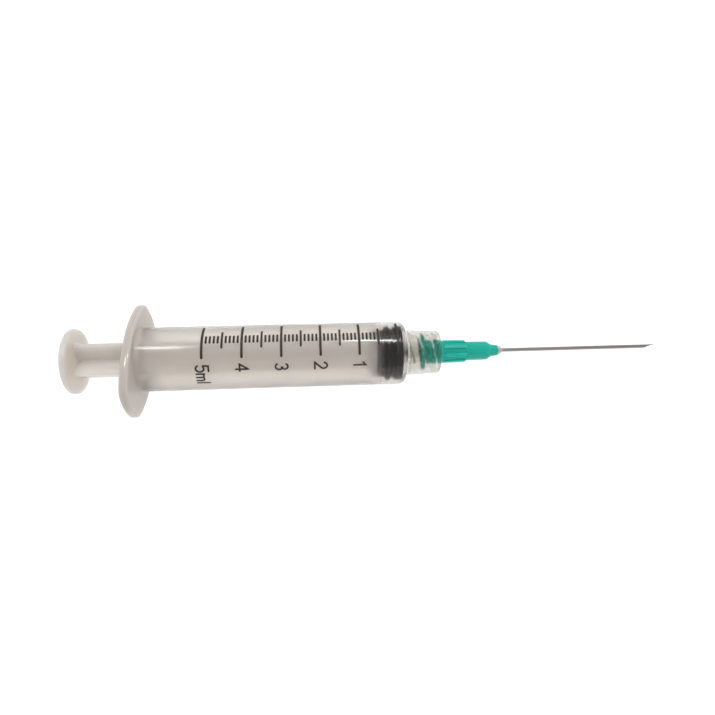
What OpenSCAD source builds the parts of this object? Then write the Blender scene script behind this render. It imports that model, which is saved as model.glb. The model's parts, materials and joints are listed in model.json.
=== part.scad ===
// Five millilitre Luer-lock syringe with a 21 gauge needle screwed on, plunger pushed fully in.
// X runs along the axis towards the needle point and is 0 at the front face of the finger flange.
// Y is the long way of the flange and Z is up. All sizes are in millimetres.

/* [Barrel] */
// Inside diameter of the barrel, which sets how long one millilitre is
bore_d = 12.4; // [12.2:0.05:12.6]
// Wall thickness of the barrel
wall = 0.8; // [0.7:0.05:1]
// Volume at the last line of the scale, in millilitres
capacity = 5; // [4:1:5]
// Distance from the flange to the line of the full volume
scale_start = 14; // [12:0.5:16]
// Thickness of the finger flange
flange_t = 1.8; // [1.4:0.1:2.2]
// Width of the flange across its waist
flange_w = 16.2; // [15.6:0.1:17]
// Length of the flange from tip to tip
flange_l = 25.7; // [24.8:0.1:27]
// Radius of the flange's two long sides
flange_side_r = 22.8; // [21:0.1:25]

/* [Luer lock] */
// Outside diameter of the threaded collar at its root
collar_d = 10.1; // [9.8:0.1:10.4]
// Length of the collar
collar_l = 7.8; // [7.4:0.1:8.2]
// Lead of the double thread inside the collar
thread_lead = 5; // [4.9:0.1:5.1]
// Diameter of the male tip at its small end
tip_d = 3.95; // [3.93:0.01:3.97]
// Diameter of the hole through the tip
lumen_d = 2.2; // [1.8:0.1:2.4]

/* [Scale print] */
// Ink thickness
ink_t = 0.03; // [0.02:0.01:0.05]
// Angle of the middle of the scale from the top, towards the flange's +Y tip
scale_angle = -2.5; // [-10:0.5:10]
// Angle of the middle of the numerals from the top
numeral_angle = -54; // [-58:0.5:-50]
// Height of a numeral
numeral_h = 3; // [2.8:0.1:3.4]

/* [Plunger] */
// Diameter of the thumb rest
thumb_d = 14.2; // [13:0.1:16]
// Thickness of the thumb rest
thumb_t = 1.4; // [1.2:0.1:2]
// Distance from the flange's front face to the thumb rest when fully in
thumb_gap = 13.5; // [12:0.1:16]
// Diameter of the circle round the rod's four ribs
rod_d = 9.1; // [8.6:0.1:10.4]
// Thickness of one rib
rib_t = 1; // [0.8:0.1:1.3]
// Turn of the ribs about the axis
rod_turn = 75.5; // [45:0.5:90]

/* [Needle] */
// Outside diameter of the 21 gauge tube
cannula_d = 0.82; // [0.8:0.01:0.83]
// Inside diameter of the tube
cannula_bore_d = 0.51; // [0.49:0.01:0.55]
// Length of tube that stands out of the hub's nose
exposed_l = 37.9; // [25:0.1:40]
// Length of the slanted point
bevel_l = 2.9; // [2.6:0.1:3.2]
// Diameter over the two lugs
lug_d = 7.8; // [7.6:0.05:7.8]
// Number of grip fins round the hub
fins = 8; // [6:2:8]
// Turn of the hub's lugs about the axis when it is screwed home
hub_turn = 10.5; // [0:0.5:45]
// Turn of the tube's slanted point about the axis
point_turn = 30.5; // [0:0.5:90]

/* [Hidden] */
$fn = 96;

// Barrel
bore_r = bore_d / 2;
tube_r = bore_r + wall;
ml_len = 1000 / (PI * bore_r * bore_r);
zero_x = scale_start + capacity * ml_len;
floor_x = zero_x + 1.3;
floor_slope = 0.2364;
shoulder_x = zero_x + 2.3;
shoulder_round = 1.7;
tip_root_x = shoulder_x + 0.9;
collar_r = collar_d / 2;
collar_end_r = collar_r - 0.35;
collar_x = shoulder_x + collar_l;
collar_round = 0.8;
lumen_r = lumen_d / 2;

// Ring that keeps the stopper in, just inside the open end
keeper_x = 0.6;
keeper_h = 0.12;
keeper_half = 0.9;

// Flange: two long arcs, a little flat in their middle, cut to length by a circle about the axis
flange_flat = 0.05;
flange_off = flange_side_r - flange_w / 2 - flange_flat;

// Luer taper is six per cent on the diameter, so three on the radius
taper = 0.03;
tip_r = tip_d / 2;
tip_x = collar_x + 2.1;
seat_gap = 0.02;

// Thread inside the collar
thread_major_r = 4;
thread_minor_r = 3.5;
thread_root_half = 0.55;
thread_crest_half = 0.3;
thread_sink = 0.15;
starts = 2;
turn_steps = 24;
lug_t = 0.9;
hub_x = shoulder_x + 3.4;
lug_mid_x = hub_x + lug_t / 2;
lug_spread = 20;
ridge_first_x = tip_root_x + 0.4;
ridge_last_x = collar_x - 0.7;
// the lugs sit half way between two ridges
thread_phase = hub_turn + 360 * ((ridge_first_x - lug_mid_x) / thread_lead + 0.5 / starts);

// Scale
divisions = 10;
small_half = 8;
middle_half = 17.6;
long_half = 35;
line_w = 0.46;
long_line_w = 0.56;
stroke = 0.38;
letter_step = 17;
squeeze = 0.87;

// Stopper, measured from the zero line, which its front rib covers
seal_gap = 0.03;
seal_r = bore_r - seal_gap;
stopper_rear = zero_x - 4.1;
stopper_skirt_r = 5.2;
groove_r = 5.5;
cone_gap = 0.1;
socket_depth = 3.1;
neck_r = 2.2;
head_r = 3.2;
head_lip = 1;
turn_gap = 0.06;

// Rod
disc_r = 5.4;
disc_t = 1.2;
rod_end_x = stopper_rear - 0.2;
rod_web_r = rod_d / 2;
thumb_x = -thumb_gap;

// Hub, measured from its rear face
mouth_r = tip_r + taper * (tip_x - hub_x) + seat_gap;
cone_depth = 7.5;
sleeve_r = 2.75;
core_r0 = 2.45;
core_r1 = 2.15;
grip_x = hub_x + 5.2;
grip_end_x = hub_x + 10.6;
nose_x = hub_x + 18;
nose_r = 1.2;
fin_t = 0.85;
well_r = 0.85;
well_depth = 1.5;
hole_gap = 0.005;
bead_gap = 0.02;
bead_tip_x = nose_x + 1.2;
bead_r = 1.1;

// Tube of the needle
cannula_r = cannula_d / 2;
point_x = nose_x + exposed_l;
cannula_start_x = hub_x + cone_depth + 1.2;

// Draws its children with their Z along the syringe's axis, their X along Y and their Y along Z.
module along_x() {
    rotate([90, 0, 90]) children();
}

// A straight or tapered round rod from x0 to x1.
module rod(x0, x1, r0, r1) {
    translate([0, 0, x0]) cylinder(h = x1 - x0, r1 = r0, r2 = r1);
}

// Points of a rounded outer edge of a turned profile, from the side face to the end face.
function round_edge(r, x, radius, steps = 6) =
    [for (i = [0:steps]) [r - radius + radius * cos(90 * i / steps), x - radius + radius * sin(90 * i / steps)]];

// Outline of the flange, long way along X.
module flange_outline() {
    intersection() {
        translate([0, -flange_off]) circle(r = flange_side_r);
        translate([0, flange_off]) circle(r = flange_side_r);
        circle(d = flange_l);
        square([flange_l, flange_w], center = true);
    }
}

// One ridge of the collar's thread, a swept trapezium that starts at angle a0.
module thread_ridge(a0) {
    run = ridge_last_x - ridge_first_x;
    steps = ceil(run / thread_lead * turn_steps);
    section = [[thread_major_r + thread_sink, -thread_root_half], [thread_minor_r, -thread_crest_half],
               [thread_minor_r, thread_crest_half], [thread_major_r + thread_sink, thread_root_half]];
    points = [for (i = [0:steps])
                  let (part = i / steps, a = a0 + 360 * run / thread_lead * part)
                      for (p = section) [p[0] * cos(a), p[0] * sin(a), ridge_first_x + run * part + p[1]]];
    sides = [for (i = [0:steps - 1]) for (k = [0:3])
                 [4 * i + k, 4 * i + 4 + k, 4 * i + 4 + (k + 1) % 4, 4 * i + (k + 1) % 4]];
    polyhedron(points = points, faces = concat([[0, 1, 2, 3]], sides, [[for (k = [3:-1:0]) 4 * steps + k]]));
}

// The tube, its rounded shoulder and the collar, with everything inside still solid.
module barrel_outside() {
    rotate_extrude()
        polygon(concat([[0, -flange_t], [tube_r, -flange_t]], round_edge(tube_r, shoulder_x, shoulder_round),
                       [[collar_r, shoulder_x]], round_edge(collar_end_r, collar_x, collar_round),
                       [[0, collar_x]]));
    translate([0, 0, -flange_t]) linear_extrude(flange_t) flange_outline();
}

// The bore with its keeper ring and its shallow conical floor.
module barrel_bore() {
    rotate_extrude()
        polygon([[0, -flange_t - 1], [bore_r + 0.3, -flange_t - 1], [bore_r + 0.3, -flange_t],
                 [bore_r, -flange_t + 0.4], [bore_r, keeper_x - keeper_half],
                 [bore_r - keeper_h, keeper_x - keeper_half / 3], [bore_r - keeper_h, keeper_x + keeper_half / 3],
                 [bore_r, keeper_x + keeper_half], [bore_r, floor_x],
                 [lumen_r, floor_x + floor_slope * (bore_r - lumen_r)], [0, floor_x + floor_slope * (bore_r - lumen_r)]]);
}

// One moulding: tube, finger flange, Luer tip and threaded collar.
module barrel() {
    color([0.80, 0.77, 0.74, 0.5]) along_x() {
        difference() {
            barrel_outside();
            barrel_bore();
            rod(tip_root_x, collar_x + 1, thread_major_r, thread_major_r);
            rod(floor_x, collar_x, lumen_r, lumen_r);
        }
        difference() {
            rod(tip_root_x - 0.3, tip_x, tip_r + taper * (tip_x - tip_root_x + 0.3), tip_r);
            rod(floor_x, tip_x + 1, lumen_r, lumen_r);
        }
        for (i = [0:starts - 1]) thread_ridge(thread_phase + 360 * i / starts);
    }
}

// A line of the scale at x, half_angle to each side of the middle of the scale.
module scale_line(x, half_angle, width) {
    translate([0, 0, x - width / 2]) rotate([0, 0, 90 - scale_angle - half_angle])
        rotate_extrude(angle = 2 * half_angle) translate([tube_r, 0]) square([ink_t, width]);
}

// A straight pen stroke with round ends.
module pen(p, q) {
    run = q - p;
    translate(p) rotate(atan2(run[1], run[0])) translate([0, -stroke / 2]) square([norm(run), stroke]);
    translate(p) circle(d = stroke, $fn = 8);
    translate(q) circle(d = stroke, $fn = 8);
}

// A curved pen stroke round c from angle a0 to a1.
module pen_arc(c, r, a0, a1, steps = 6) {
    for (i = [0:steps - 1])
        let (b0 = a0 + (a1 - a0) * i / steps, b1 = a0 + (a1 - a0) * (i + 1) / steps)
            pen(c + r * [cos(b0), sin(b0)], c + r * [cos(b1), sin(b1)]);
}

// Plain numerals drawn from strokes, standing on y = 0 and centred on x = 0.
module numeral(n) {
    h = numeral_h - stroke / 2;
    foot = stroke / 2;
    r = 0.27 * h;
    if (n == 1) {
        pen([0.1, foot], [0.1, h]);
        pen([0.1, h], [-0.6, h - 0.7]);
    } else if (n == 2) {
        pen_arc([0, h - r], r, 165, -35);
        pen([r * cos(35), h - r - r * sin(35)], [-r, foot]);
        pen([-r, foot], [r + 0.1, foot]);
    } else if (n == 3) {
        pen_arc([0, h - 0.9 * r], 0.9 * r, 150, -80);
        pen_arc([0, foot + r], r, 80, -150);
    } else if (n == 4) {
        pen([0.35, foot], [0.35, h]);
        pen([0.35, h], [-0.85, 1]);
        pen([-0.85, 1], [0.85, 1]);
    } else if (n == 5) {
        pen([0.75, h], [-0.6, h]);
        pen([-0.6, h], [-0.7, h - 1.2]);
        pen_arc([0, foot + r + 0.1], r + 0.1, 125, -145);
    }
}

// The unit after the top numeral: a small m and an l.
module unit_m() {
    x_height = 0.6 * numeral_h;
    for (i = [-1:1]) pen([0.85 * i, stroke / 2], [0.85 * i, x_height - stroke]);
    for (i = [-1, 0]) pen_arc([0.85 * i + 0.425, x_height - stroke / 2 - 0.425], 0.425, 180, 0, 4);
}

module unit_l() {
    pen([0, stroke / 2], [0, numeral_h - stroke / 2]);
}

// Prints its 2D children on the tube at x, turned by angle from the top.
module print_at(x, angle) {
    intersection() {
        rotate([-angle, 0, 0]) translate([x - numeral_h / 2, 0, 0]) rotate([0, 0, -90])
            linear_extrude(tube_r + 1) children();
        along_x() difference() {
            rod(x - numeral_h, x + numeral_h, tube_r + ink_t, tube_r + ink_t);
            rod(x - numeral_h - 1, x + numeral_h + 1, tube_r, tube_r);
        }
    }
}

// Ink of the scale: tenths, halves and whole millilitres, with plain numerals.
module scale_print() {
    color([0.2, 0.18, 0.17]) {
        along_x() for (i = [0:capacity * divisions])
            scale_line(zero_x - i * ml_len / divisions,
                       i % divisions == 0 ? long_half : i % (divisions / 2) == 0 ? middle_half : small_half,
                       i % divisions == 0 ? long_line_w : line_w);
        for (n = [1:capacity]) print_at(zero_x - n * ml_len, numeral_angle) scale([squeeze, 1]) numeral(n);
        print_at(scale_start, numeral_angle - letter_step) unit_m();
        print_at(scale_start, numeral_angle - 1.75 * letter_step) unit_l();
    }
}

// Thumb rest, four-ribbed rod, front disc and the head that snaps into the stopper.
module plunger_rod() {
    color([0.80, 0.77, 0.74]) along_x() {
        rod(thumb_x - thumb_t, thumb_x, thumb_d / 2, thumb_d / 2);
        rotate([0, 0, rod_turn]) for (a = [0, 90])
            rotate([0, 0, a]) translate([-rod_web_r, -rib_t / 2, thumb_x - 0.2])
                cube([2 * rod_web_r, rib_t, rod_end_x - disc_t - thumb_x + 0.4]);
        rod(rod_end_x - disc_t, rod_end_x, disc_r, disc_r);
        rod(rod_end_x - 0.2, stopper_rear + head_lip + 0.2, neck_r, neck_r);
        rod(stopper_rear + head_lip + turn_gap, stopper_rear + head_lip + 1, head_r, head_r);
        rod(stopper_rear + head_lip + 1, stopper_rear + socket_depth - turn_gap, head_r, head_r - 0.9);
    }
}

// Rubber stopper: narrow skirt, two sealing ribs, conical front and the socket for the rod.
module stopper() {
    r1 = seal_r;
    color([0.16, 0.16, 0.16]) along_x() difference() {
        rotate_extrude()
            polygon([[0, stopper_rear], [stopper_skirt_r - 0.2, stopper_rear], [stopper_skirt_r, stopper_rear + 0.2],
                     [stopper_skirt_r + 0.1, zero_x - 2.75], [r1 - 0.15, zero_x - 2.2], [r1, zero_x - 2],
                     [r1, zero_x - 1.6], [r1 - 0.15, zero_x - 1.4], [groove_r, zero_x - 1], [groove_r, zero_x - 0.7],
                     [r1 - 0.15, zero_x - 0.25], [r1, zero_x - 0.05], [r1, zero_x + 0.9],
                     [r1 - 0.2, floor_x - cone_gap + floor_slope * (seal_gap + 0.2)],
                     [lumen_r, floor_x - cone_gap + floor_slope * (bore_r - lumen_r)],
                     [0, floor_x - cone_gap + floor_slope * (bore_r - lumen_r)]]);
        rod(stopper_rear - 1, stopper_rear + head_lip + 0.1, neck_r + turn_gap, neck_r + turn_gap);
        rod(stopper_rear + head_lip, stopper_rear + head_lip + 1, head_r + turn_gap, head_r + turn_gap);
        rod(stopper_rear + head_lip + 1, stopper_rear + socket_depth, head_r + turn_gap, head_r - 0.9 + turn_gap);
    }
}

// Turned outline of the hub over its fins.
module hub_outline() {
    rod(grip_x, grip_x + 0.4, 2.5, 2.68);
    rod(grip_x + 0.4, grip_x + 3.5, 2.68, 2.62);
    rod(grip_x + 3.5, grip_end_x - 0.3, 2.62, 2.56);
    rod(grip_end_x - 0.3, grip_end_x, 2.56, 2.2);
}

// Green hub: lugs, sleeve, finned grip and tapered nose, round the female Luer cone.
module needle_hub() {
    color([0.15, 0.66, 0.58]) along_x() difference() {
        union() {
            intersection() {
                rod(hub_x, hub_x + lug_t, lug_d / 2, lug_d / 2);
                union() {
                    for (side = [0, 180]) rotate([0, 0, hub_turn + side - lug_spread])
                        rotate_extrude(angle = 2 * lug_spread) translate([0, hub_x]) square([lug_d, lug_t]);
                    rod(hub_x, hub_x + lug_t, sleeve_r + 0.1, sleeve_r + 0.1);
                }
            }
            rod(hub_x, grip_x + 0.5, sleeve_r, sleeve_r - 0.1);
            rod(grip_x, grip_end_x + 0.2, core_r0, core_r1);
            intersection() {
                hub_outline();
                for (i = [0:fins / 2 - 1]) rotate([0, 0, hub_turn + 360 * i / fins])
                    translate([-lug_d / 2, -fin_t / 2, grip_x - 1]) cube([lug_d, fin_t, nose_x - grip_x]);
            }
            rod(grip_end_x, nose_x - 2.5, core_r1, 2.08);
            rod(nose_x - 2.5, nose_x - 1.4, 2.08, 1.35);
            rod(nose_x - 1.4, nose_x, 1.35, nose_r);
        }
        rod(hub_x - 1, hub_x + cone_depth, mouth_r + taper, mouth_r - taper * cone_depth);
        rod(hub_x + cone_depth - 0.1, hub_x + cone_depth + 1.2, mouth_r - taper * cone_depth - 0.02, cannula_r);
        rod(hub_x + cone_depth, nose_x, cannula_r + hole_gap, cannula_r + hole_gap);
        rod(nose_x - well_depth, nose_x + 1, well_r, well_r);
    }
}

// Stainless tube with its slanted point.
module needle_cannula() {
    color([0.72, 0.70, 0.68]) along_x() rotate([0, 0, point_turn]) difference() {
        rod(cannula_start_x, point_x, cannula_r, cannula_r);
        rod(cannula_start_x - 1, point_x + 1, cannula_bore_d / 2, cannula_bore_d / 2);
        translate([-cannula_r, -cannula_d, point_x - bevel_l]) rotate([0, atan2(cannula_d, bevel_l), 0])
            translate([-2 * cannula_d, 0, 0]) cube([2 * cannula_d, 2 * cannula_d, 2 * bevel_l]);
    }
}

// Bead of adhesive that fills the well round the tube and domes over the nose.
module needle_adhesive() {
    color([0.88, 0.86, 0.83]) along_x() difference() {
        union() {
            rod(nose_x - well_depth + bead_gap, nose_x + bead_gap, well_r - bead_gap, well_r - bead_gap);
            rod(nose_x + bead_gap, nose_x + 0.3, bead_r, 0.9 * bead_r);
            rod(nose_x + 0.3, bead_tip_x - 0.2, 0.9 * bead_r, 0.6 * bead_r);
            rod(bead_tip_x - 0.2, bead_tip_x, 0.6 * bead_r, 0.42 * bead_r);
        }
        rod(nose_x - 2 * well_depth, bead_tip_x + 1, cannula_r + bead_gap, cannula_r + bead_gap);
    }
}

barrel();
scale_print();
plunger_rod();
stopper();
needle_hub();
needle_cannula();
needle_adhesive();
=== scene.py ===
"""Looks for a five millilitre syringe: fine meshes and materials around the fixed CAD frame."""
import json
import math

import bmesh
import bpy
from mathutils import Matrix, Vector


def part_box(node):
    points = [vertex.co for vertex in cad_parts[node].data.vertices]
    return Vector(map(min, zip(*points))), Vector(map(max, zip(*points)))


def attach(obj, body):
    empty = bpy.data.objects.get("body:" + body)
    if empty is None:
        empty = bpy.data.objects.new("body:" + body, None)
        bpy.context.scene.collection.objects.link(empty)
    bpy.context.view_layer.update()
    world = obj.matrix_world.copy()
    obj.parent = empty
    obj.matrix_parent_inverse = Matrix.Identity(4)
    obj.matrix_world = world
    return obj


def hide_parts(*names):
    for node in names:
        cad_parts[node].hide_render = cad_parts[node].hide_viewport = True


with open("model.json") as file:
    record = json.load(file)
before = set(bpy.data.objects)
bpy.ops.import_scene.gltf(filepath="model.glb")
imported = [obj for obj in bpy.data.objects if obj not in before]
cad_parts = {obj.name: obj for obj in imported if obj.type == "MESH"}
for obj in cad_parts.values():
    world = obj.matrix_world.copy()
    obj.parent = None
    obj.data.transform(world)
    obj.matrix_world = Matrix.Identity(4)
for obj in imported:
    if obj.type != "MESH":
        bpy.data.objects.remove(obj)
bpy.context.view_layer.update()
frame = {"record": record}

MM = 0.001

# ---------------------------------------------------------------- sizes, in millimetres, read from the frame


def node_x(node):
    """Lowest and highest X of a CAD node, in millimetres."""
    low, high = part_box(node)
    return low.x / MM, high.x / MM


def mount(name):
    """A mount of the CAD part by its name."""
    return next(m for m in frame["record"]["mounts"] if m["name"] == name)


TUBE_R = mount("barrel_tube")["dims"]["r_mm"]
CANNULA_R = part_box("needle_cannula")[1].z / MM
WALL = 0.8
BORE_R = TUBE_R - WALL
ML_LEN = 1000 / (math.pi * BORE_R ** 2)
CAPACITY = 5

FLANGE_BACK, TIP_X = node_x("barrel")
THUMB_BACK, HEAD_X = node_x("plunger_rod")
STOPPER_BACK = node_x("stopper")[0]
HUB_X, NOSE_X = node_x("needle_hub")
POINT_X = node_x("needle_cannula")[1]
BEAD_X = node_x("needle_adhesive")[1]
ZERO_X = STOPPER_BACK + 4.1
FLOOR_X = ZERO_X + 1.3
SHOULDER_X = ZERO_X + 2.3
COLLAR_X = TIP_X - 2.1
FLANGE_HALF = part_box("barrel")[1].z / MM
FLANGE_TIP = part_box("barrel")[1].y / MM
THUMB_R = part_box("plunger_rod")[1].z / MM
FLANGE_SIDE_R = 22.8
FLANGE_FLAT = 0.05
FLOOR_SLOPE = 0.2364
SHOULDER_ROUND = 1.7
ROD_TURN = math.radians(75.5)
HUB_TURN = math.radians(10.5)
POINT_TURN = math.radians(30.5)
SCALE_ANGLE = -2.5
NUMERAL_ANGLE = -54

# ---------------------------------------------------------------- mesh helpers


def arc(cx, cr, radius, start, end, steps=5):
    """(x, r) points of a profile's arc round (cx, cr), angles in degrees from +x towards +r."""
    turn = [math.radians(start + (end - start) * i / steps) for i in range(steps + 1)]
    return [(cx + radius * math.cos(a), cr + radius * math.sin(a)) for a in turn]


def ring_point(x, radius, angle):
    """Point in metres at x, radius and angle (from +Y towards +Z), all in millimetres and radians."""
    return Vector((x, radius * math.cos(angle), radius * math.sin(angle))) * MM


def circle(count):
    """Evenly spaced angles once round."""
    return [2 * math.pi * i / count for i in range(count)]


# an edge between faces that meet at more than this stays sharp
SHARP_ANGLE = math.radians(35)


def new_piece(name, mesh_from_bm, material, body, nodes):
    """Turns a bmesh into a smooth-shaded piece that rides on a body and stands for CAD nodes."""
    bmesh.ops.recalc_face_normals(mesh_from_bm, faces=mesh_from_bm.faces)
    for edge in mesh_from_bm.edges:
        edge.smooth = len(edge.link_faces) < 2 or edge.calc_face_angle() < SHARP_ANGLE
    for face in mesh_from_bm.faces:
        face.smooth = True
    mesh = bpy.data.meshes.new(name)
    mesh_from_bm.to_mesh(mesh)
    mesh_from_bm.free()
    mesh.materials.append(material)
    piece = bpy.data.objects.new(name, mesh)
    bpy.context.scene.collection.objects.link(piece)
    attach(piece, body)
    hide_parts(*nodes)


def bridge(bm, ring_a, ring_b):
    count = len(ring_a)
    for i in range(count):
        j = (i + 1) % count
        bm.faces.new((ring_a[i], ring_a[j], ring_b[j], ring_b[i]))


def add_rings(bm, rings, closed=False, cap_start=False, cap_end=False):
    """Skins a list of rings of points. closed joins the last ring to the first."""
    made = [[bm.verts.new(p) for p in ring] for ring in rings]
    for a, b in zip(made, made[1:]):
        bridge(bm, a, b)
    if closed:
        bridge(bm, made[-1], made[0])
    for wanted, ring in ((cap_start, made[0]), (cap_end, made[-1])):
        if wanted:
            centre = bm.verts.new(sum((v.co for v in ring), Vector()) / len(ring))
            for i, v in enumerate(ring):
                bm.faces.new((v, ring[(i + 1) % len(ring)], centre))


def turned(profile, count=96, **how):
    """A turned solid from (x, r) points."""
    bm = bmesh.new()
    add_rings(bm, [[ring_point(x, r, a) for a in circle(count)] for x, r in profile], **how)
    return bm


def smoothstep(value, low, high):
    t = min(max((value - low) / (high - low), 0), 1)
    return t * t * (3 - 2 * t)


# ---------------------------------------------------------------- material helpers


def new_material(name, colour, roughness, **inputs):
    """A Principled material. inputs are socket names with _ for spaces."""
    material = bpy.data.materials.new(name)
    material.use_nodes = True
    shader = material.node_tree.nodes["Principled BSDF"]
    shader.inputs["Base Color"].default_value = (*colour, 1)
    shader.inputs["Roughness"].default_value = roughness
    for key, value in inputs.items():
        shader.inputs[key.replace("_", " ")].default_value = value
    return material, shader


def add_node(material, kind, **settings):
    node = material.node_tree.nodes.new(kind)
    for key, value in settings.items():
        if key in node.inputs:
            node.inputs[key].default_value = value
        else:
            setattr(node, key, value)
    return node


def link(material, source, target):
    material.node_tree.links.new(source, target)


def noise(material, scale, detail=4, stretch=(1, 1, 1)):
    """Noise in object space, in features per metre, stretched along an axis by a small factor."""
    coords = add_node(material, "ShaderNodeTexCoord")
    mapping = add_node(material, "ShaderNodeMapping")
    mapping.inputs["Scale"].default_value = stretch
    texture = add_node(material, "ShaderNodeTexNoise", Scale=scale, Detail=detail)
    link(material, coords.outputs["Object"], mapping.inputs["Vector"])
    link(material, mapping.outputs["Vector"], texture.inputs["Vector"])
    return texture.outputs["Fac"]


def ramp(material, source, low, high, start=0.3, end=0.7):
    """Maps a value to a range of numbers."""
    node = add_node(material, "ShaderNodeMapRange")
    for key, value in (("From Min", start), ("From Max", end), ("To Min", low), ("To Max", high)):
        node.inputs[key].default_value = value
    link(material, source, node.inputs["Value"])
    return node.outputs["Result"]


def colour_mix(material, factor, first, second):
    """Mixes two colours, of which the first may be another node's output."""
    node = add_node(material, "ShaderNodeMix", data_type="RGBA")
    if isinstance(first, tuple):
        node.inputs[6].default_value = (*first, 1)
    else:
        link(material, first, node.inputs[6])
    node.inputs[7].default_value = (*second, 1)
    link(material, factor, node.inputs[0])
    return node.outputs[2]


def bump(material, height, strength, distance):
    node = add_node(material, "ShaderNodeBump", Strength=strength, Distance=distance)
    link(material, height, node.inputs["Height"])
    return node.outputs["Normal"]


# ---------------------------------------------------------------- materials


# where the barrel's plastic turns from milky to hazy to clear, as (start, end) in metres of X
FLANGE_TINT = (0.0, 0.003)
FLANGE_MILK = (0.0002, 0.0015)
# from here forward the barrel's colour is darkened: painted shade over the stopper's rest place
STOPPER_PAINTED_SHADE = (0.049, 0.052)
STOPPER_CLEAR = (0.0485, 0.0525)
COLLAR_TINT = (0.0575, 0.059)


def barrel_plastic():
    """Natural polypropylene: hazy, milkiest in the thick flange and clearest round the stopper and the lock. Its
    colour is darker from the stopper's rest place forward, a painted shade of the black stopper behind the wall.
    """
    m, s = new_material("barrel_plastic", (0.95, 0.905, 0.855), 0.48, IOR=1.2, Coat_Weight=0.4,
                        Coat_Roughness=0.12, Coat_IOR=1.5, Subsurface_Weight=1.0, Subsurface_Scale=0.002,
                        Subsurface_Radius=(1, 0.9, 0.8))
    coords = add_node(m, "ShaderNodeTexCoord")
    split = add_node(m, "ShaderNodeSeparateXYZ")
    link(m, coords.outputs["Object"], split.inputs[0])
    x = split.outputs["X"]
    cloud = noise(m, 160, 3, (0.25, 1, 1))
    tube = colour_mix(m, ramp(m, cloud, 0, 1), (0.93, 0.885, 0.835), (0.97, 0.925, 0.875))
    tube = colour_mix(m, ramp(m, x, 1, 0, *FLANGE_TINT), tube, (0.57, 0.53, 0.49))
    # painted shade: the tube's colour darkened from the stopper's rest place forward
    tube = colour_mix(m, ramp(m, x, 0, 1, *STOPPER_PAINTED_SHADE), tube, (0.77, 0.74, 0.70))
    link(m, colour_mix(m, ramp(m, x, 0, 1, *COLLAR_TINT), tube, (0.77, 0.75, 0.71)), s.inputs["Base Color"])
    clear = add_node(m, "ShaderNodeMath", operation="ADD")
    link(m, ramp(m, x, 0.1, 0.78, *FLANGE_MILK), clear.inputs[0])
    link(m, ramp(m, x, 0, 0.22, *STOPPER_CLEAR), clear.inputs[1])
    link(m, clear.outputs[0], s.inputs["Transmission Weight"])
    haze = add_node(m, "ShaderNodeMath", operation="ADD")
    link(m, ramp(m, x, 0.48, 0.22, *STOPPER_CLEAR), haze.inputs[0])
    link(m, ramp(m, x, 0, 0.06, *COLLAR_TINT), haze.inputs[1])
    link(m, haze.outputs[0], s.inputs["Roughness"])
    return m


def rod_plastic():
    """The plunger rod's polypropylene: milky all through, with a satin moulded skin."""
    m, s = new_material("rod_plastic", (0.50, 0.468, 0.44), 0.4, Subsurface_Weight=1.0, Subsurface_Scale=0.008,
                        Subsurface_Radius=(1, 0.9, 0.8), Coat_Weight=0.2, Coat_Roughness=0.3)
    cloud = noise(m, 180, 3)
    link(m, colour_mix(m, ramp(m, cloud, 0, 1), (0.48, 0.448, 0.42), (0.52, 0.488, 0.46)), s.inputs["Base Color"])
    link(m, ramp(m, noise(m, 1500, 4), 0.36, 0.46), s.inputs["Roughness"])
    link(m, bump(m, noise(m, 2600, 5), 0.06, 0.0001), s.inputs["Normal"])
    return m


def stopper_rubber():
    """Black rubber with a thin film of silicone oil and a fine matt grain."""
    m, s = new_material("stopper_rubber", (0.018, 0.018, 0.018), 0.5, Specular_IOR_Level=0.25, Coat_Weight=0.05)
    link(m, colour_mix(m, ramp(m, noise(m, 500, 4), 0, 1), (0.014, 0.014, 0.014), (0.022, 0.021, 0.021)),
         s.inputs["Base Color"])
    link(m, ramp(m, noise(m, 2400, 5), 0.42, 0.62), s.inputs["Roughness"])
    link(m, bump(m, noise(m, 6000, 5), 0.2, 0.00005), s.inputs["Normal"])
    return m


def hub_plastic():
    """Green tinted polypropylene, a little translucent."""
    m, s = new_material("hub_plastic", (0.008, 0.45, 0.36), 0.36, Specular_IOR_Level=0.3, Subsurface_Weight=1.0,
                        Subsurface_Scale=0.002, Subsurface_Radius=(0.4, 1, 0.9), Coat_Weight=0.05,
                        Coat_Roughness=0.2)
    cloud = noise(m, 260, 3, (0.4, 1, 1))
    link(m, colour_mix(m, ramp(m, cloud, 0, 1), (0.006, 0.42, 0.335), (0.010, 0.48, 0.385)), s.inputs["Base Color"])
    link(m, ramp(m, noise(m, 1800, 4), 0.32, 0.42), s.inputs["Roughness"])
    link(m, bump(m, noise(m, 2600, 4), 0.05, 0.0001), s.inputs["Normal"])
    return m


def needle_steel():
    """Drawn stainless tube, with fine lines along it."""
    m, s = new_material("needle_steel", (0.36, 0.335, 0.32), 0.32, Metallic=1.0)
    lines = noise(m, 9000, 3, (0.02, 1, 1))
    link(m, colour_mix(m, ramp(m, lines, 0, 1), (0.32, 0.295, 0.28), (0.40, 0.375, 0.36)), s.inputs["Base Color"])
    link(m, ramp(m, lines, 0.22, 0.38), s.inputs["Roughness"])
    return m


def bead_adhesive():
    """Cured clear adhesive, slightly milky."""
    m, s = new_material("adhesive_bead", (0.82, 0.79, 0.74), 0.18, Transmission_Weight=0.5, IOR=1.4)
    link(m, colour_mix(m, ramp(m, noise(m, 900, 3), 0, 1), (0.76, 0.73, 0.68), (0.86, 0.84, 0.80)),
         s.inputs["Base Color"])
    return m


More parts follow.
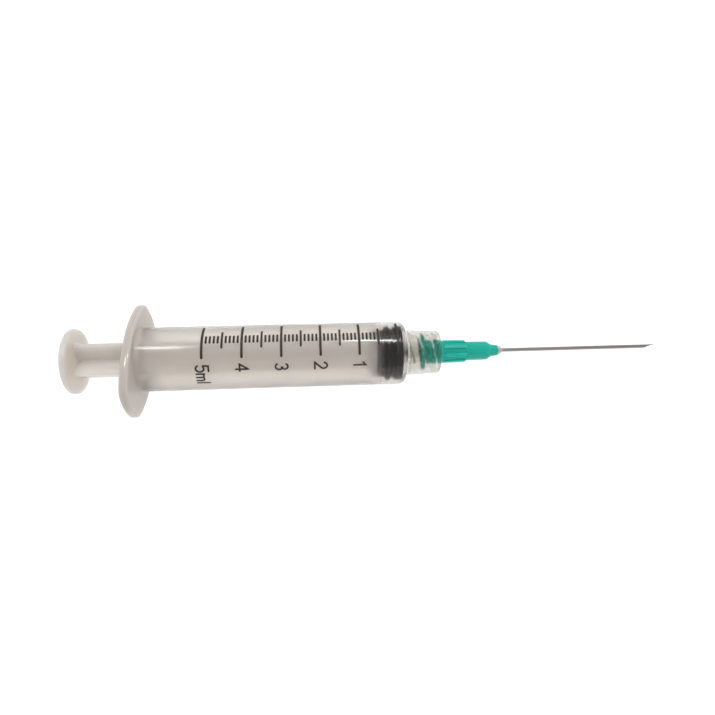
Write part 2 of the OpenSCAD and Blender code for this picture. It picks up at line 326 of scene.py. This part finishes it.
def scale_ink():
    """Printed ink: satin, a little thinner and browner in places."""
    m, s = new_material("scale_ink", (0.05, 0.037, 0.033), 0.6, Specular_IOR_Level=0.2)
    link(m, colour_mix(m, ramp(m, noise(m, 2200, 4), 0, 1), (0.035, 0.026, 0.024), (0.065, 0.05, 0.045)),
         s.inputs["Base Color"])
    link(m, ramp(m, noise(m, 3500, 3), 0.52, 0.68), s.inputs["Roughness"])
    return m


# ---------------------------------------------------------------- barrel

CORNER_R = 3.5
RIM_ROUND = 0.45
COLLAR_ROOT_R = 5.05
COLLAR_END_R = 4.7
THREAD_R = 4.0
THREAD_STAND = 0.5
THREAD_LEAD = 5.0
TIP_R = 1.975
TAPER = 0.03
LUMEN_R = 1.1
COLLAR_FLOOR = SHOULDER_X + 0.9


def flange_reach(angle, inset):
    """Distance from the axis to the flange's outline in a direction, pulled in by inset."""
    off = FLANGE_SIDE_R - FLANGE_HALF - FLANGE_FLAT
    far, near = FLANGE_SIDE_R - CORNER_R, FLANGE_TIP - CORNER_R
    corner_z = (far ** 2 - near ** 2 - off ** 2) / (2 * off)
    corner_y = math.sqrt(near ** 2 - corner_z ** 2)
    side, end, corner = FLANGE_SIDE_R - inset, FLANGE_TIP - inset, CORNER_R - inset
    c, s = abs(math.cos(angle)), abs(math.sin(angle))
    turn = math.atan2(s, c)
    if turn < math.atan2(corner_z, corner_y):
        return end
    if turn < math.atan2((corner_z + off) * side / far - off, corner_y * side / far):
        return corner_y * c + corner_z * s + math.sqrt(corner ** 2 - (corner_y * s - corner_z * c) ** 2)
    bow = -off * s + math.sqrt(side ** 2 - (off * c) ** 2)
    return min(bow, (FLANGE_HALF - inset) / s)


def flange_angles():
    """Angles round the axis, closer together at the flange's four corners."""
    quarter = []
    for low, high, steps in ((0, 14, 7), (14, 28, 16), (28, 90, 41)):
        quarter += [math.radians(low + (high - low) * i / steps) for i in range(steps)]
    half = quarter + [math.pi - a for a in [math.pi / 2] + quarter[:0:-1]]
    return half + [a + math.pi for a in half]


def thread_height(x, angle):
    """How far the collar's two-start thread stands in from its wall, 0 to 1."""
    first, last = SHOULDER_X + 1.3, COLLAR_X - 0.7
    pitch = THREAD_LEAD / 2
    lug_middle = HUB_X + LUG_T / 2
    phase = (x - lug_middle) / pitch - (angle - HUB_TURN) / math.pi - 0.5
    away = abs(phase - round(phase)) * pitch
    ends = smoothstep(x, first - 0.5, first) * (1 - smoothstep(x, last, last + 0.5))
    return (1 - smoothstep(away, 0.1, 0.85)) * ends


def barrel_mesh():
    """One closed skin: lumen, bore, flange, tube, shoulder, collar, thread and male tip."""
    angles = flange_angles()
    rings = []

    def turn(points):
        rings.extend([ring_point(x, r, a) for a in angles] for x, r in points)

    def flange(points):
        rings.extend([ring_point(x, flange_reach(a, inset), a) for a in angles] for x, inset in points)

    def face(x, inner, outer_inset, outwards):
        """Rings across a flat face of the flange, between a round edge and the rim."""
        for t in (0.25, 0.5, 0.75):
            out = t if outwards else 1 - t
            rings.append([ring_point(x, inner * (1 - out) + flange_reach(a, outer_inset) * out, a)
                          for a in angles])

    floor_end = FLOOR_X + FLOOR_SLOPE * (BORE_R - LUMEN_R)
    turn([(TIP_X - 0.15, LUMEN_R), (floor_end + 0.1, LUMEN_R), (floor_end, LUMEN_R + 0.1)])
    turn([(FLOOR_X + 0.14, BORE_R - 0.5), (FLOOR_X + 0.03, BORE_R - 0.14), (FLOOR_X - 0.1, BORE_R)])
    turn([(FLOOR_X - 0.5 - (FLOOR_X - 2.5) * i / 11, BORE_R) for i in range(12)])
    turn([(1.5, BORE_R), (1.2, BORE_R - 0.04), (0.9, BORE_R - 0.12), (0.3, BORE_R - 0.12),
          (0, BORE_R - 0.04), (-0.3, BORE_R)])
    mouth = 0.35
    turn(arc(FLANGE_BACK + mouth, BORE_R + mouth, mouth, -90, -180))
    face(FLANGE_BACK, BORE_R + mouth, RIM_ROUND, True)
    quarter = [(1 - math.cos(math.pi / 2 * i / 5), 1 - math.sin(math.pi / 2 * i / 5)) for i in range(6)]
    flange([(FLANGE_BACK + RIM_ROUND * a, RIM_ROUND * b) for a, b in quarter])
    flange([(-RIM_ROUND * a, RIM_ROUND * b) for a, b in reversed(quarter)])
    root = 0.3
    face(0, TUBE_R + root, RIM_ROUND, False)
    turn(arc(root, TUBE_R + root, root, 180, 270))
    turn([(root + (SHOULDER_X - 1.9 - root) * i / 24, TUBE_R) for i in range(1, 24)])
    turn(arc(SHOULDER_X - SHOULDER_ROUND, TUBE_R - SHOULDER_ROUND, SHOULDER_ROUND, 90, 0, 9))
    turn(arc(SHOULDER_X + 0.2, COLLAR_ROOT_R + 0.2, 0.2, 180, 270, 4))
    collar_run = COLLAR_X - SHOULDER_X - 1
    turn([(SHOULDER_X + 0.2 + collar_run * i / 10, COLLAR_ROOT_R + (COLLAR_END_R - COLLAR_ROOT_R) * i / 10)
          for i in range(1, 10)])
    turn(arc(COLLAR_X - 0.6, COLLAR_END_R - 0.6, 0.6, 85, 0, 6))
    turn(arc(COLLAR_X - 0.1, THREAD_R + 0.1, 0.1, 0, -90, 3))
    steps = 72
    run = COLLAR_X - 0.1 - COLLAR_FLOOR - 0.2
    for i in range(1, steps):
        x = COLLAR_X - 0.1 - run * i / steps
        rings.append([ring_point(x, THREAD_R - THREAD_STAND * thread_height(x, a), a) for a in angles])
    turn(arc(COLLAR_FLOOR + 0.2, THREAD_R - 0.2, 0.2, 90, 180, 3))
    tip_root = TIP_R + TAPER * (TIP_X - COLLAR_FLOOR)
    turn(arc(COLLAR_FLOOR + 0.2, tip_root + 0.2, 0.2, 180, 270, 3))
    tip_run = TIP_X - 0.15 - COLLAR_FLOOR - 0.2
    turn([(COLLAR_FLOOR + 0.2 + tip_run * i / 6, tip_root - TAPER * (0.2 + tip_run * i / 6)) for i in range(1, 6)])
    turn(arc(TIP_X - 0.15, TIP_R - 0.15, 0.15, 85, 0, 3))
    turn([(TIP_X, LUMEN_R + 0.1)])
    bm = bmesh.new()
    add_rings(bm, rings, closed=True)
    return bm


# ---------------------------------------------------------------- plunger rod and stopper

RIB_TIP_R = 4.55
RIB_HALF = 0.5
HEAD_R = 3.2
NECK_R = 2.2


def rib_outline(grow=0.0):
    """(y, z) points round the four ribs, turned in place, with every side moved out by grow."""
    tip, half = RIB_TIP_R + grow, RIB_HALF + grow
    edge, root = 0.22, 0.35
    sector = [(tip, 0)]
    sector += [(tip - edge + edge * math.cos(a), half - edge + edge * math.sin(a))
               for a in [math.pi / 2 * i / 3 for i in range(4)]]
    first, last = math.atan2(half, tip - edge), math.atan2(half, half + root)
    sector += [(half / math.tan(first + (last - first) * i / 7), half) for i in range(1, 7)]
    sector += [(half + root - root * math.sin(a), half + root - root * math.cos(a))
               for a in [math.pi / 4 * i / 3 for i in range(4)]]
    # the other half of the sector is the mirror image about 45 degrees
    sector += [(z, y) for y, z in reversed(sector[1:-1])]
    points = []
    for k in range(4):
        a = ROD_TURN + k * math.pi / 2
        c, s = math.cos(a), math.sin(a)
        points += [(y * c - z * s, y * s + z * c) for y, z in sector]
    return points


def rod_mesh():
    """One closed skin: thumb rest, four-ribbed rod, front disc and snap head."""
    base = rib_outline()
    angles = [math.atan2(z, y) for y, z in base]
    rings = []

    def turn(points):
        rings.extend([ring_point(x, r, a) for a in angles] for x, r in points)

    def ribs(x, grow):
        rings.append([Vector((x, y, z)) * MM for y, z in rib_outline(grow)])

    thumb_front = THUMB_BACK + 1.4
    rim = 0.5
    turn([(THUMB_BACK + 0.12, 1), (THUMB_BACK + 0.12, 5.6), (THUMB_BACK + 0.02, 6.0), (THUMB_BACK, 6.3)])
    turn(arc(THUMB_BACK + rim, THUMB_R - rim, rim, -180, -270, 5)[1:])
    turn(arc(thumb_front - rim, THUMB_R - rim, rim, 90, 0, 5))
    turn([(thumb_front, 6.2), (thumb_front, 5.8)])
    fillet = 0.3
    for i in range(6):
        a = math.pi / 2 * i / 5
        ribs(thumb_front + fillet * (1 - math.cos(a)), fillet * (1 - math.sin(a)))
    disc_front = STOPPER_BACK - 0.2
    disc_back = disc_front - 1.2
    small = 0.3
    run = disc_back - small - thumb_front - fillet
    for i in range(1, 26):
        ribs(thumb_front + fillet + run * i / 26, 0)
    for i in range(4):
        a = math.pi / 2 * i / 3
        ribs(disc_back - small + small * math.sin(a), small * (1 - math.cos(a)))
    turn([(disc_back, 5.25), (disc_back + 0.15, 5.4), (disc_front - 0.15, 5.4), (disc_front, 5.25),
          (disc_front, NECK_R + 0.2), (disc_front + 0.2, NECK_R)])
    shelf = STOPPER_BACK + 1.06
    turn([(shelf - 0.1, NECK_R), (shelf, NECK_R + 0.1), (shelf, HEAD_R - 0.15), (shelf + 0.15, HEAD_R),
          (STOPPER_BACK + 1.95, HEAD_R), (STOPPER_BACK + 2.15, HEAD_R - 0.15), (HEAD_X - 0.1, HEAD_R - 0.85),
          (HEAD_X, HEAD_R - 1.1)])
    bm = bmesh.new()
    add_rings(bm, rings, cap_start=True, cap_end=True)
    return bm


def stopper_mesh():
    """Rubber stopper with rounded sealing ribs and a socket for the rod's head."""
    seal = BORE_R - 0.03
    z = ZERO_X
    socket_end = STOPPER_BACK + 3.1
    front = [(FLOOR_X - 0.1 + FLOOR_SLOPE * (BORE_R - r), r) for r in (5.6, 4.6, 3.6, 2.6, 1.6)]
    profile = [(socket_end, 1.2), (socket_end, 2.2), (STOPPER_BACK + 2.15, 3.2), (STOPPER_BACK + 2.0, 3.26),
               (STOPPER_BACK + 1.1, 3.26), (STOPPER_BACK + 1.0, 3.16), (STOPPER_BACK + 1.0, 2.4),
               (STOPPER_BACK + 0.9, 2.26), (STOPPER_BACK + 0.3, 2.26), (STOPPER_BACK, 2.5),
               (STOPPER_BACK, 4.9)]
    profile += arc(STOPPER_BACK + 0.3, 4.9, 0.3, 180, 90, 4)[1:]
    profile += [(z - 2.85, 5.3)]
    profile += rib_curve(z - 1.8, 0.62, 5.35, seal, 5.5)
    profile += [(z - 0.95, 5.48), (z - 0.75, 5.48)]
    profile += rib_curve(z + 0.25, 0.78, 5.52, seal, None)
    profile += arc(z + 0.88, seal - 0.27, 0.27, 80, 10, 4)
    profile += front + [(FLOOR_X + 1.15, 0.8)]
    return turned(profile, 128, cap_start=True, cap_end=True)


def rib_curve(middle, half_width, low, high, after):
    """Profile points over one sealing rib, with a rounded top. after is the level that it falls to."""
    steps = 12
    last = steps if after else steps // 2 + 2
    points = []
    for i in range(last + 1):
        t = -1 + 2 * i / steps
        level = low if t < 0 or after is None else after
        top = max(0.0, 1 - abs(t) ** 2.6)
        points.append((middle + half_width * t, level + (high - level) * top))
    return points


# ---------------------------------------------------------------- needle

LUG_R = 3.9
LUG_T = 0.9
GRIP_X = HUB_X + 5.2
GRIP_END = HUB_X + 10.6
FINS = 8
CONE_DEPTH = 7.5
MOUTH_R = TIP_R + TAPER * (TIP_X - HUB_X) + 0.02
WELL_R = 0.85
WELL_DEPTH = 1.5
NOSE_R = 1.2


def level(x, points):
    """Straight-line reading of a list of (x, r) points at x."""
    for (x0, r0), (x1, r1) in zip(points, points[1:]):
        if x <= x1:
            return r0 + (r1 - r0) * (x - x0) / (x1 - x0)
    return points[-1][1]


def fin_share(angle):
    """1 on top of a fin, 0 between fins, with soft flanks."""
    turn = angle / (2 * math.pi / FINS)
    away = abs(turn - round(turn)) * 2 * math.pi / FINS * 2.7
    return 1 - smoothstep(away, 0.34, 0.52)


def hub_mesh():
    """One closed skin: lugs, sleeve, finned grip, tapered nose, well, bore and female taper."""
    angles = circle(288)
    core = [(GRIP_X - 0.1, 2.6), (GRIP_X, 2.46), (GRIP_END, 2.16)]
    over = [(GRIP_X, 2.5), (GRIP_X + 0.4, 2.68), (GRIP_X + 3.5, 2.62), (GRIP_END - 0.3, 2.56),
            (GRIP_END, 2.2)]
    rings = []

    def turn(points):
        rings.extend([ring_point(x, r, a) for a in angles] for x, r in points)

    def lug(x, inset):
        spread, soft = math.radians(20), math.radians(1.5)
        ring = []
        for a in angles:
            off = abs((a - HUB_TURN + math.pi / 2) % math.pi - math.pi / 2)
            share = 1 - smoothstep(off, spread - soft, spread + soft)
            ring.append(ring_point(x, 2.85 + (LUG_R - 2.85) * share - inset, a))
        rings.append(ring)

    turn([(HUB_X + 0.15, MOUTH_R), (HUB_X, MOUTH_R + 0.15)])
    soft = 0.1
    lug(HUB_X, soft)
    lug(HUB_X + soft * 0.3, soft * 0.3)
    lug(HUB_X + soft, 0)
    lug(HUB_X + LUG_T - soft, 0)
    lug(HUB_X + LUG_T - soft * 0.3, soft * 0.3)
    lug(HUB_X + LUG_T, soft)
    turn([(HUB_X + LUG_T, 2.76), (HUB_X + LUG_T + 0.1, 2.74), (GRIP_X - 0.3, 2.66),
          (GRIP_X - 0.1, 2.6)])
    steps = 40
    for i in range(steps + 1):
        x = GRIP_X + (GRIP_END - GRIP_X) * i / steps
        low, high = level(x, core), level(x, over)
        rings.append([ring_point(x, low + max(0, high - low) * fin_share(a - HUB_TURN), a) for a in angles])
    step = NOSE_X - 2.5
    turn([(GRIP_END + 0.1, 2.15), (step - 0.3, 2.085), (step - 0.05, 2.06), (step + 0.1, 2.0),
          (step + 0.3, 1.88), (step + 0.8, 1.55), (step + 1.0, 1.42), (step + 1.15, 1.37), (step + 1.4, 1.34),
          (step + 2.0, 1.26)])
    turn(arc(NOSE_X - 0.15, NOSE_R - 0.12, 0.15, 70, 0, 4))
    turn([(NOSE_X, WELL_R + 0.05), (NOSE_X - 0.05, WELL_R), (NOSE_X - WELL_DEPTH, WELL_R),
          (NOSE_X - WELL_DEPTH, CANNULA_R + 0.005)])
    end_r = MOUTH_R - TAPER * CONE_DEPTH
    turn([(HUB_X + CONE_DEPTH + 1.2, CANNULA_R + 0.005), (HUB_X + CONE_DEPTH + 0.1, end_r - 0.1),
          (HUB_X + CONE_DEPTH, end_r)])
    turn([(HUB_X + CONE_DEPTH * t, MOUTH_R - TAPER * CONE_DEPTH * t) for t in (0.8, 0.6, 0.4, 0.2)])
    bm = bmesh.new()
    add_rings(bm, rings, closed=True)
    return bm


def cannula_mesh():
    """Stainless tube with its main bevel and two smaller side grinds at the point."""
    angles = circle(64)
    outer, inner = CANNULA_R, 0.255
    bevel = 2.9
    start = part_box("needle_cannula")[0].x / MM

    def cut(radius, angle):
        y, z = radius * math.cos(angle - POINT_TURN), radius * math.sin(angle - POINT_TURN)
        main = POINT_X - bevel * (outer - y) / (2 * outer)
        side = POINT_X - 0.02 - 1.5 * abs(z) / outer + 1.1 * (y / outer - 1)
        return min(main, max(side, main - 0.45))

    def straight(x, r):
        return [ring_point(x, r, a) for a in angles]

    stops = [start + (POINT_X - 3.2 - start) * i / 10 for i in range(11)]
    rings = [straight(x, outer) for x in stops]
    rings.append([ring_point(cut(outer, a) - 0.03, outer, a) for a in angles])
    rings.append([ring_point(cut(outer - 0.02, a), outer - 0.02, a) for a in angles])
    rings.append([ring_point(cut(inner + 0.02, a), inner + 0.02, a) for a in angles])
    rings.append([ring_point(cut(inner, a) - 0.03, inner, a) for a in angles])
    rings += [straight(x, inner) for x in reversed(stops)]
    bm = bmesh.new()
    add_rings(bm, rings, closed=True)
    return bm


def bead_mesh():
    """Adhesive: fills the well and climbs the tube in a soft meniscus."""
    hole = CANNULA_R + 0.02
    profile = [(NOSE_X - WELL_DEPTH + 0.02, hole), (NOSE_X - WELL_DEPTH + 0.02, WELL_R - 0.04),
               (NOSE_X - WELL_DEPTH + 0.06, WELL_R - 0.02), (NOSE_X, WELL_R - 0.02), (NOSE_X + 0.03, WELL_R + 0.02),
               (NOSE_X + 0.04, 1.04)]
    steps = 12
    for i in range(steps + 1):
        t = i / steps
        profile.append((NOSE_X + 0.06 + (BEAD_X - NOSE_X - 0.06) * t, 1.09 - 0.63 * t ** 1.6))
    profile.append((BEAD_X, hole))
    return turned(profile, 96, closed=True)


# ---------------------------------------------------------------- printed scale

INK_T = 0.03
PEN = 0.38
GLYPH_H = 3.0
SQUEEZE = 0.87


def bow(cx, cy, r, start, end, steps=14):
    """Points of a curved pen stroke, angles in degrees."""
    turn = [math.radians(start + (end - start) * i / steps) for i in range(steps + 1)]
    return [(cx + r * math.cos(a), cy + r * math.sin(a)) for a in turn]


def glyph(name):
    """Pen strokes of a plain numeral or letter, standing on 0 and centred across 0."""
    top, foot = GLYPH_H - PEN / 2, PEN / 2
    r = 0.27 * top
    low_r = r + 0.08
    x_height = 0.62 * GLYPH_H
    if name == "1":
        return [[(-0.55, top - 0.62), (0.12, top), (0.12, foot)]]
    if name == "2":
        return [bow(0, top - r, r, 165, -38) + [(-0.85, foot), (0.85, foot)]]
    if name == "3":
        return [bow(0, top - 0.92 * r, 0.92 * r, 150, -75), bow(0, foot + r, r, 75, -150)]
    if name == "4":
        return [[(0.4, foot), (0.4, top), (-0.85, 1.0), (0.9, 1.0)]]
    if name == "5":
        return [[(0.72, top), (-0.6, top), (-0.7, foot + 1.55)] + bow(0, foot + low_r, low_r, 128, -145)]
    if name == "m":
        return [[(-0.85, foot), (-0.85, x_height)]] + [
            bow(x + 0.42, x_height - 0.5, 0.42, 180, 0, 8) + [(x + 0.84, foot)] for x in (-0.85, -0.01)]
    return [[(0, foot), (0, top)]]


def stroke(bm, points, width, x, angle):
    """A pen stroke laid on the tube as a thin closed slab. points run right and up on the paper."""
    fine = [Vector(points[0])]
    for a, b in zip(points, points[1:]):
        a, b = Vector(a), Vector(b)
        parts = max(1, math.ceil((b - a).length / 0.3))
        fine += [a + (b - a) * i / parts for i in range(1, parts + 1)]
    half = width / 2
    first, last = (fine[1] - fine[0]).normalized(), (fine[-1] - fine[-2]).normalized()
    left, right = [], []
    for i, p in enumerate(fine):
        before = (p - fine[i - 1]).normalized() if i else first
        after = (fine[i + 1] - p).normalized() if i + 1 < len(fine) else last
        along = (before + after).normalized() if (before + after).length > 0.01 else after
        reach = half / max(along.dot(after), 0.5)
        side = Vector((-along.y, along.x)) * reach
        left.append(p + side)
        right.append(p - side)
    caps = [math.pi * i / 6 for i in range(1, 6)]

    def cap(p, along):
        side = Vector((along.y, -along.x))
        return [p + half * (side * math.cos(a) + along * math.sin(a)) for a in caps]

    def lay(p, r):
        turn = math.radians(angle) - p.x / TUBE_R
        return Vector((x + p.y, r * math.sin(turn), r * math.cos(turn))) * MM

    start_cap = [bm_pair(bm, lay, p) for p in cap(fine[0], -first)]
    end_cap = [bm_pair(bm, lay, p) for p in cap(fine[-1], last)]
    left = [bm_pair(bm, lay, p) for p in left]
    right = [bm_pair(bm, lay, p) for p in right]
    # round the stroke: right side, end cap, left side back, start cap
    loop = right + end_cap + left[::-1] + start_cap
    for a, b in zip(loop, loop[1:] + loop[:1]):
        bm.faces.new((a[0], b[0], b[1], a[1]))
    for k in (0, 1):
        for i in range(len(left) - 1):
            bm.faces.new((left[i][k], left[i + 1][k], right[i + 1][k], right[i][k]))
        bm.faces.new([v[k] for v in [right[-1]] + end_cap + [left[-1]]])
        bm.faces.new([v[k] for v in [left[0]] + start_cap + [right[0]]])


def bm_pair(bm, lay, p):
    """The low and the high vertex of an ink outline point."""
    return bm.verts.new(lay(p, TUBE_R - 0.004)), bm.verts.new(lay(p, TUBE_R + INK_T))


def scale_mesh():
    """The ink: 51 lines, five numerals and the unit, each stroke a thin slab on the tube."""
    bm = bmesh.new()
    divisions = 10
    for i in range(CAPACITY * divisions + 1):
        whole, half = i % divisions == 0, i % (divisions // 2) == 0
        reach = math.radians(35 if whole else 17.6 if half else 8) * TUBE_R
        width = 0.53 if whole else 0.45
        end = reach - width / 2
        stroke(bm, [(-end, 0), (end, 0)], width, ZERO_X - i * ML_LEN / divisions, SCALE_ANGLE)
    for n in range(1, CAPACITY + 1):
        for line in glyph(str(n)):
            line = [(x * SQUEEZE, y) for x, y in line]
            stroke(bm, line, PEN, ZERO_X - n * ML_LEN - GLYPH_H / 2, NUMERAL_ANGLE)
    for name, step in (("m", 17), ("l", 29.75)):
        for line in glyph(name):
            stroke(bm, line, PEN, ZERO_X - CAPACITY * ML_LEN - GLYPH_H / 2, NUMERAL_ANGLE - step)
    return bm


# ---------------------------------------------------------------- assembly

new_piece("barrel_moulding", barrel_mesh(), barrel_plastic(), "barrel", ["barrel"])
new_piece("printed_scale", scale_mesh(), scale_ink(), "barrel", ["scale_print"])
new_piece("plunger_moulding", rod_mesh(), rod_plastic(), "plunger", ["plunger_rod"])
new_piece("rubber_stopper", stopper_mesh(), stopper_rubber(), "stopper", ["stopper"])
new_piece("needle_hub_moulding", hub_mesh(), hub_plastic(), "needle", ["needle_hub"])
new_piece("needle_tube", cannula_mesh(), needle_steel(), "needle", ["needle_cannula"])
new_piece("adhesive_bead", bead_mesh(), bead_adhesive(), "needle_bead", ["needle_adhesive"])

# ---------------------------------------------------------------- floor, light and camera


# angle of the camera from straight up, towards +Y
LEAN = -35.5


def floor():
    """A pale floor that touches the flange's long edge and the barrel's shoulder."""
    low_back = Vector((0, 0, -FLANGE_HALF)) * MM
    low_front = Vector((SHOULDER_X - SHOULDER_ROUND, 0, -TUBE_R)) * MM
    slope = math.atan2(low_front.z - low_back.z, low_front.x - low_back.x)
    mesh = bpy.data.meshes.new("floor")
    bm = bmesh.new()
    bmesh.ops.create_grid(bm, x_segments=8, y_segments=8, size=1.5)
    bm.to_mesh(mesh)
    bm.free()
    ground = bpy.data.objects.new("floor", mesh)
    ground.location = low_back
    ground.rotation_euler = (0, -slope, 0)
    bpy.context.scene.collection.objects.link(ground)
    material, shader = new_material("floor", (0.15, 0.15, 0.15), 0.8, Specular_IOR_Level=0.1,
                                    Emission_Color=(1, 1, 1, 1), Emission_Strength=1.0)
    mesh.materials.append(material)


def area_light(name, place, size, power, target=Vector((0.045, 0, 0))):
    """A soft rectangular light at place, in metres, facing the object."""
    data = bpy.data.lights.new(name, "AREA")
    data.shape = "RECTANGLE"
    data.size, data.size_y = size
    data.energy = power
    lamp = bpy.data.objects.new(name, data)
    lamp.location = place
    lamp.rotation_mode = "QUATERNION"
    lamp.rotation_quaternion = (target - Vector(place)).to_track_quat("-Z", "Y")
    bpy.context.scene.collection.objects.link(lamp)


def around(x, angle, distance):
    """Point in metres beside the axis at x: angle in degrees from straight up towards +Y."""
    turn = math.radians(angle)
    return Vector((x, distance * math.sin(turn), distance * math.cos(turn))) * MM


def lights():
    world = bpy.data.worlds.new("studio")
    world.use_nodes = True
    sky = world.node_tree.nodes["Background"]
    sky.inputs["Color"].default_value = (1, 1, 1, 1)
    sky.inputs["Strength"].default_value = 0.55
    bpy.context.scene.world = world
    area_light("softbox_top", around(40, 20, 700), (0.3, 0.3), 0.6)
    area_light("strip_rear", around(-77, LEAN + 40, 300), (0.055, 0.03), 0.15, target=Vector((0.005, 0, 0)))
    area_light("strip_front", around(88, LEAN + 47, 300), (0.065, 0.015), 0.25, target=Vector((0.055, 0, 0)))


def camera():
    """The camera looks down from the -Y side. Distances are in millimetres from the axis."""
    foot_x, distance = 38.1, 124.6
    aim_x, aim_side = 47.12, -0.81
    tilt, image_side = 0.0276, -0.0058
    lens, sensor = 27.95, 36.0
    place = around(foot_x, LEAN, distance)
    up_from_axis = around(0, LEAN, 1) / MM
    across = up_from_axis.cross(Vector((1, 0, 0)))
    aim = Vector((aim_x, 0, 0)) * MM + across * aim_side * MM
    back = (place - aim).normalized()
    up_wanted = Vector((tilt, 0, 0)) + image_side * up_from_axis + across
    right = up_wanted.cross(back).normalized()
    up = back.cross(right)
    data = bpy.data.cameras.new("camera")
    data.lens, data.sensor_width = lens, sensor
    data.clip_start, data.clip_end = 0.005, 10
    eye = bpy.data.objects.new("camera", data)
    eye.matrix_world = Matrix.Translation(place) @ Matrix((right, up, back)).transposed().to_4x4()
    bpy.context.scene.collection.objects.link(eye)
    bpy.context.scene.camera = eye


floor()
lights()
camera()
bpy.context.scene.view_settings.view_transform = "Standard"
